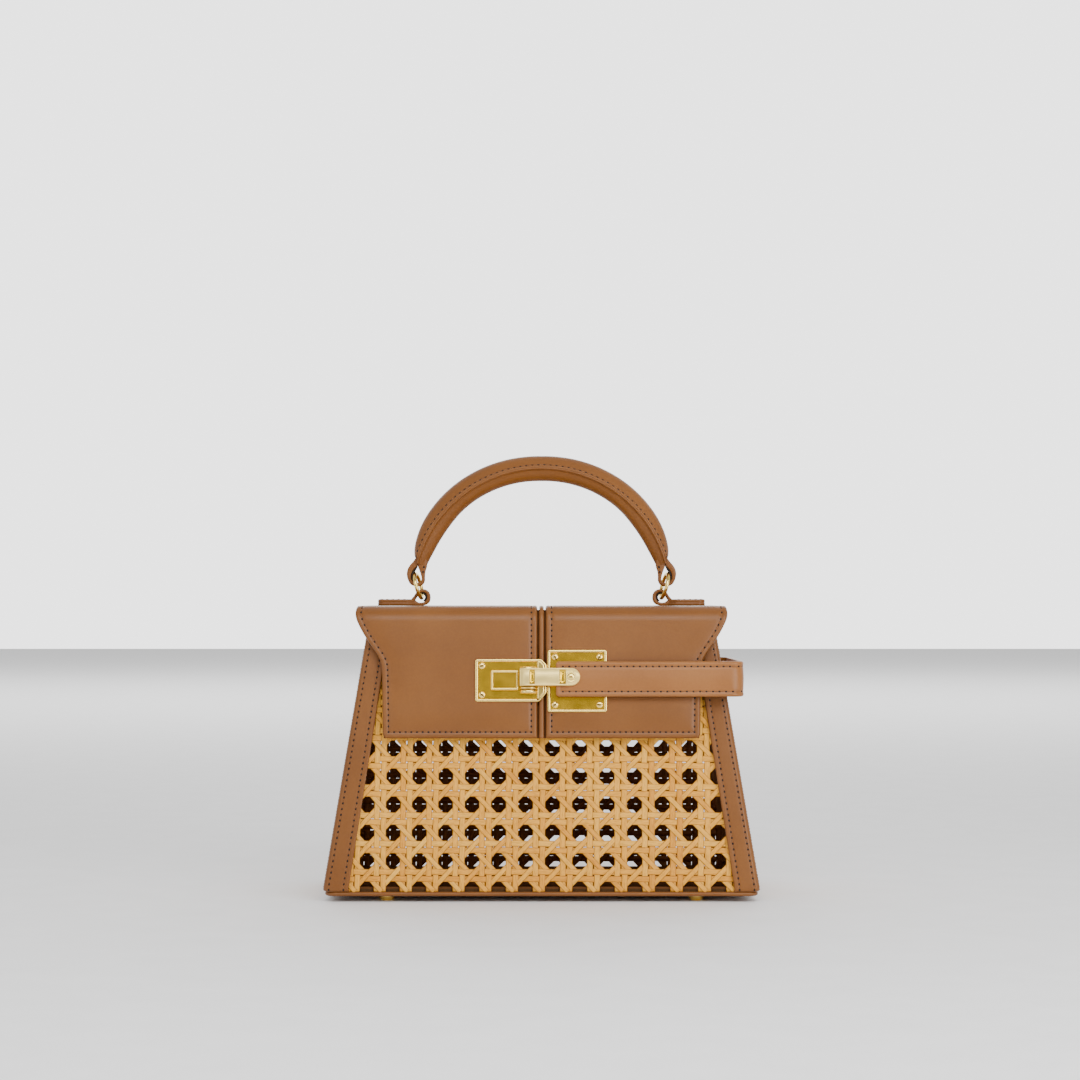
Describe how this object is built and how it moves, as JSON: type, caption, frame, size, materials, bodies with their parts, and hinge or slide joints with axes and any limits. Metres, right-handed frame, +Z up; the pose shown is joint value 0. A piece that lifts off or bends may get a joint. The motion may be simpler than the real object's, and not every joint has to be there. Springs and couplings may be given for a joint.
{
  "type": "basket box bag",
  "caption": "Small leaning box bag with woven cane walls in a leather frame, a leather flap, a side strap with a metal clasp and an arched top handle.",
  "frame": {"origin": "centre of the base, level with the undersides of the feet", "axes": "+Z up, -Y towards the front with the clasp, +X towards the side that the strap goes round"},
  "size_m": [0.202, 0.098, 0.2076],
  "materials": {
    "tan_leather": "smooth, fine grain, semi-matte",
    "cane": "split rattan cane, satin",
    "gold_metal": "polished, gold plated",
    "stiff_board": "pressed fibre board",
    "lining": "thin matte leather lining",
    "handle_filler": "rolled leather filler"
  },
  "bodies": {
    "body": {"cane_front": "cane", "cane_back": "cane", "cane_left": "cane", "cane_right": "cane", "corner_band_front_left": "tan_leather", "corner_band_front_right": "tan_leather", "corner_band_back_left": "tan_leather", "corner_band_back_right": "tan_leather", "mouth_band_front": "tan_leather", "mouth_band_back": "tan_leather", "mouth_band_left": "tan_leather", "mouth_band_right": "tan_leather", "base_piping": "tan_leather", "base_panel": "tan_leather", "base_board": "stiff_board", "inner_floor": "lining", "foot_front_left": "gold_metal", "foot_front_right": "gold_metal", "foot_back_left": "gold_metal", "foot_back_right": "gold_metal", "foot_washers": "gold_metal", "flap_tail": "tan_leather", "strap_tail": "tan_leather", "strap_tail_rivets": "gold_metal"},
    "flap": {"flap_lining": "lining", "flap_panel_left": "tan_leather", "flap_panel_right": "tan_leather", "flap_welt": "tan_leather", "lock_plate": "gold_metal", "lock_plate_screws": "gold_metal", "lock_boss": "gold_metal", "clasp_post": "gold_metal", "strap_plate": "gold_metal", "strap_plate_screws": "gold_metal", "tab_left": "tan_leather", "tab_right": "tan_leather"},
    "strap": {"strap": "tan_leather", "tongue": "gold_metal", "tongue_rivet": "gold_metal"},
    "handle": {"handle_core": "handle_filler", "handle_upper_cover": "tan_leather", "handle_lower_cover": "tan_leather", "handle_loop_left": "tan_leather", "handle_loop_right": "tan_leather"},
    "ring_left": {"ring_left": "gold_metal"},
    "ring_right": {"ring_right": "gold_metal"}
  },
  "joints": [
    {"name": "flap_open", "type": "hinge", "parent": "body", "child": "flap", "pos_m": [0, 0.0355, 0.13295], "axis": [-1, 0, 0], "range_deg": [0, 85]},
    {"name": "strap_swing", "type": "hinge", "parent": "body", "child": "strap", "pos_m": [0.08415, 0.041, 0.103], "axis": [0, 0, 1], "range_deg": [0, 162]},
    {"name": "handle_tilt", "type": "hinge", "parent": "flap", "child": "handle", "pos_m": [0, 0, 0.14559], "axis": [1, 0, 0], "range_deg": [-40, 40]},
    {"name": "ring_left_swing", "type": "hinge", "parent": "flap", "child": "ring_left", "pos_m": [-0.0567, 0, 0.1403], "axis": [0, 1, 0], "range_deg": [-2, 2]},
    {"name": "ring_right_swing", "type": "hinge", "parent": "flap", "child": "ring_right", "pos_m": [0.0567, 0, 0.1403], "axis": [0, 1, 0], "range_deg": [-2, 2]}
  ],
  "couplings": [
    {"joint": "strap_swing", "follows": "flap_open", "ratio": 1.9}
  ]
}
